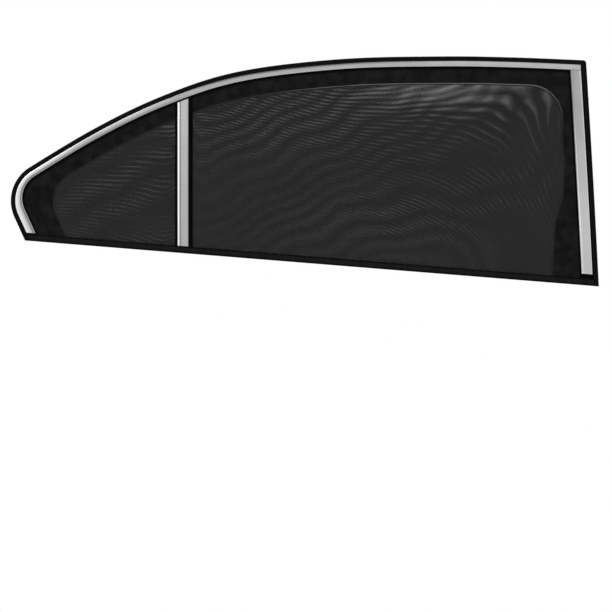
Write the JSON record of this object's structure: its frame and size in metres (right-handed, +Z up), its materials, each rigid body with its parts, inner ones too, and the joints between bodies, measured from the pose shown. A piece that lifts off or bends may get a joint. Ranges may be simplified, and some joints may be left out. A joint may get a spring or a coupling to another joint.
{
  "type": "car side window sunshade",
  "caption": "Sewn black net sleeve that slips over a rear car door's window frame to shade its glass, open along the belt line, with satin silver trim strips.",
  "frame": {"origin": "on the under face of the outer hem, halfway along the rim and midway through the hem", "axes": "+X towards the front of the car, -Y out of the car, +Z up"},
  "size_m": [1.0413, 0.0437, 0.4075],
  "materials": {
    "net": "open black net, matte",
    "cloth": "close black knit, matte",
    "edging": "black binding, slight sheen",
    "elastic": "black flat elastic, matte",
    "tape": "black backing tape, slight sheen",
    "strip": "satin metallised silver"
  },
  "bodies": {
    "root": {"edging": "edging", "outer_border": "cloth", "outer_net": "net", "outer_hem": "edging", "outer_elastic": "elastic", "inner_border": "cloth", "inner_net": "net", "inner_hem": "edging", "inner_elastic": "elastic", "roof_strip_tape": "tape", "roof_strip": "strip", "front_strip_tape": "tape", "front_strip": "strip", "divider_tape": "tape", "divider_strip": "strip"}
  },
  "joints": []
}
